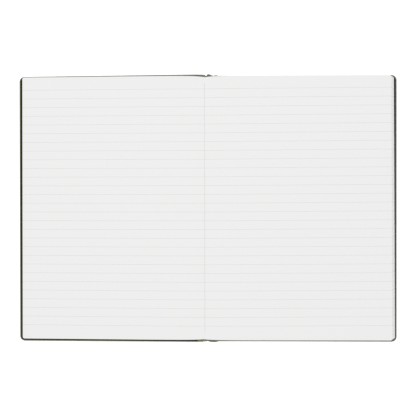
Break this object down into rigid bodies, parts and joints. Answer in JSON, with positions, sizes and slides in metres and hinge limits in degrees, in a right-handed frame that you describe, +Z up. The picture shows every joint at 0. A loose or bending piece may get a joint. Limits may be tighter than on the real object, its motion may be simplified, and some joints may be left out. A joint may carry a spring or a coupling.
{
  "type": "open ruled notebook",
  "caption": "Hardcover ruled notebook lying open near its front, with covers that turn on their joints.",
  "frame": {"origin": "middle of the footprint, on the surface that the notebook lies on", "axes": "+X towards the back cover's fore edge, +Y towards the head of the pages, +Z up"},
  "size_m": [0.304, 0.2134, 0.0105],
  "materials": {
    "cover_cloth": "fine-grained matt olive",
    "board": "plain grey board",
    "endpaper": "matt dark paper",
    "page_paper": "matt white, faint grey rules",
    "lining": "open-weave lining"
  },
  "bodies": {
    "block": {"right_pages": "page_paper", "spine_lining": "lining", "spine_card": "board", "spine_wrap": "cover_cloth"},
    "front_cover": {"front_board": "board", "front_cover_wrap": "cover_cloth", "front_endpaper": "endpaper", "left_pages": "page_paper"},
    "back_cover": {"back_board": "board", "back_cover_wrap": "cover_cloth", "back_endpaper": "endpaper"}
  },
  "joints": [
    {"name": "front_cover_turn", "type": "hinge", "parent": "block", "child": "front_cover", "pos_m": [-0.00251, 0, 0.01065], "axis": [0, 1, 0], "range_deg": [0, 182.69]},
    {"name": "back_cover_turn", "type": "hinge", "parent": "block", "child": "back_cover", "pos_m": [0.00469, 0, 0], "axis": [0, 1, 0], "range_deg": [0, 172]}
  ]
}
